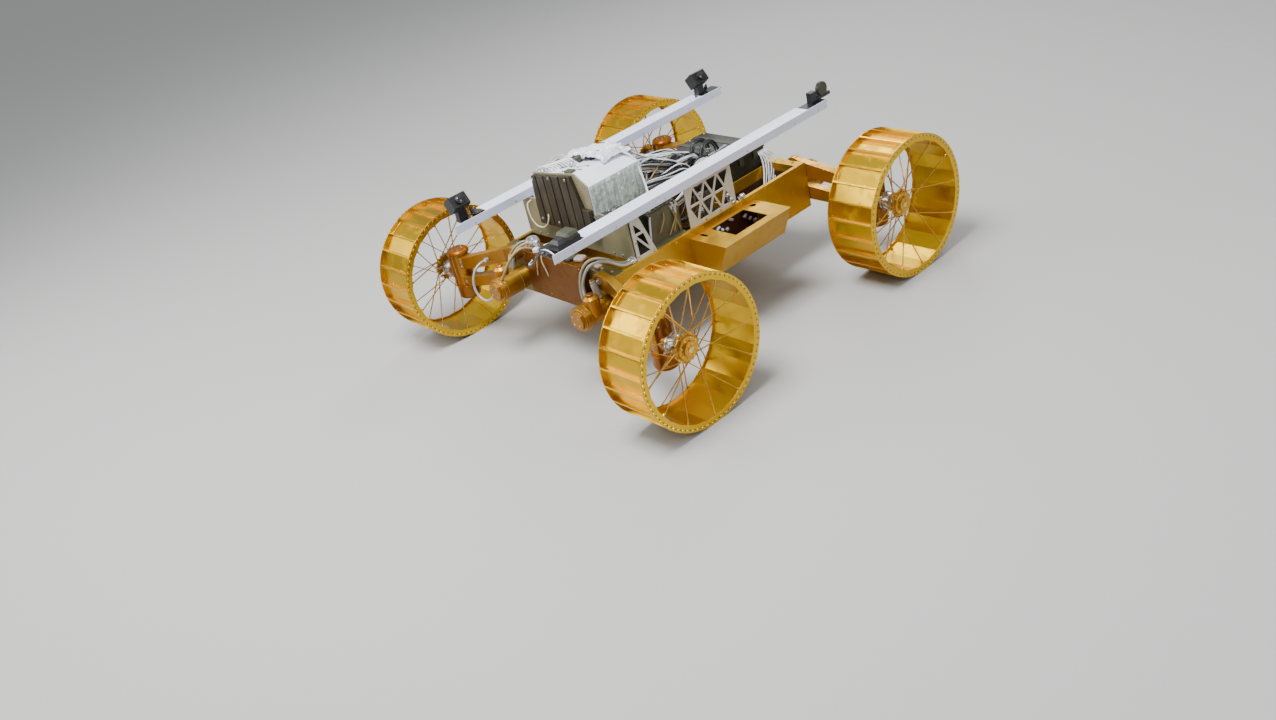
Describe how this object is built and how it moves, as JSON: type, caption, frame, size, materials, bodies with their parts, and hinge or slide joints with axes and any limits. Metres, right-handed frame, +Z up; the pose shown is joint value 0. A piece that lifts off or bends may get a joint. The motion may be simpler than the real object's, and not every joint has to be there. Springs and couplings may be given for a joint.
{
  "type": "lunar rover",
  "caption": "Open-frame lunar rover with steered and driven drum wheels on wishbone arms, a tub with side boxes, and two equipment rails.",
  "frame": {"origin": "on the floor, in the middle of the four wheels", "axes": "+X forward, +Y to the rover's left, +Z up"},
  "size_m": [1.57, 1.457, 0.667],
  "materials": {
    "wheel_gold": "satin",
    "hub_gold": "satin",
    "motor_silver": "machined",
    "suspension_gold": "satin",
    "camera_black": "matt",
    "tub_gold": "satin",
    "nose_brown": "satin",
    "truss_grey": "satin",
    "rail_aluminium": "satin",
    "panel_beige": "satin",
    "equipment_dark": "satin",
    "film_silver": "metallised film",
    "harness_sleeve": "braided",
    "heat_sink_dark": "anodised"
  },
  "bodies": {
    "chassis": {"upper_arms_front": "suspension_gold", "lower_arms_front": "suspension_gold", "upper_arms_rear": "suspension_gold", "lower_arms_rear": "suspension_gold", "steering_actuators": "suspension_gold", "lift_actuators": "suspension_gold", "camera_brackets": "camera_black", "cameras": "camera_black", "side_wall_left": "tub_gold", "side_box_left": "tub_gold", "mid_truss_left": "truss_grey", "front_gusset_left": "truss_grey", "rail_left": "rail_aluminium", "side_wall_right": "tub_gold", "side_box_right": "tub_gold", "mid_truss_right": "truss_grey", "front_gusset_right": "truss_grey", "rail_right": "rail_aluminium", "tub_floor": "tub_gold", "front_beam": "nose_brown", "rear_beam": "tub_gold", "tub_dividers": "tub_gold", "front_bulkhead": "panel_beige", "equipment_deck": "equipment_dark", "avionics_base": "equipment_dark", "electronics_box": "film_silver", "heat_sink": "heat_sink_dark", "battery_box": "equipment_dark", "power_unit": "equipment_dark", "wire_harness": "harness_sleeve"},
    "steer_front_left": {"knuckle_front_left": "suspension_gold", "drive_motor_front_left": "motor_silver"},
    "wheel_front_left": {"wheel_drum_front_left": "wheel_gold", "wheel_hub_front_left": "hub_gold"},
    "steer_front_right": {"knuckle_front_right": "suspension_gold", "drive_motor_front_right": "motor_silver"},
    "wheel_front_right": {"wheel_drum_front_right": "wheel_gold", "wheel_hub_front_right": "hub_gold"},
    "steer_rear_left": {"knuckle_rear_left": "suspension_gold", "drive_motor_rear_left": "motor_silver"},
    "wheel_rear_left": {"wheel_drum_rear_left": "wheel_gold", "wheel_hub_rear_left": "hub_gold"},
    "steer_rear_right": {"knuckle_rear_right": "suspension_gold", "drive_motor_rear_right": "motor_silver"},
    "wheel_rear_right": {"wheel_drum_rear_right": "wheel_gold", "wheel_hub_rear_right": "hub_gold"}
  },
  "joints": [
    {"name": "steering_front_left", "type": "hinge", "parent": "chassis", "child": "steer_front_left", "pos_m": [0.535, 0.545, 0.275], "axis": [0, 0, 1], "range_deg": [-50, 50]},
    {"name": "spin_front_left", "type": "hinge", "parent": "steer_front_left", "child": "wheel_front_left", "pos_m": [0.535, 0.635, 0.25], "axis": [0, 1, 0], "continuous": true},
    {"name": "steering_front_right", "type": "hinge", "parent": "chassis", "child": "steer_front_right", "pos_m": [0.535, -0.545, 0.275], "axis": [0, 0, 1], "range_deg": [-50, 50]},
    {"name": "spin_front_right", "type": "hinge", "parent": "steer_front_right", "child": "wheel_front_right", "pos_m": [0.535, -0.635, 0.25], "axis": [0, 1, 0], "continuous": true},
    {"name": "steering_rear_left", "type": "hinge", "parent": "chassis", "child": "steer_rear_left", "pos_m": [-0.535, 0.545, 0.275], "axis": [0, 0, 1], "range_deg": [-50, 50]},
    {"name": "spin_rear_left", "type": "hinge", "parent": "steer_rear_left", "child": "wheel_rear_left", "pos_m": [-0.535, 0.635, 0.25], "axis": [0, 1, 0], "continuous": true},
    {"name": "steering_rear_right", "type": "hinge", "parent": "chassis", "child": "steer_rear_right", "pos_m": [-0.535, -0.545, 0.275], "axis": [0, 0, 1], "range_deg": [-50, 50]},
    {"name": "spin_rear_right", "type": "hinge", "parent": "steer_rear_right", "child": "wheel_rear_right", "pos_m": [-0.535, -0.635, 0.25], "axis": [0, 1, 0], "continuous": true}
  ]
}
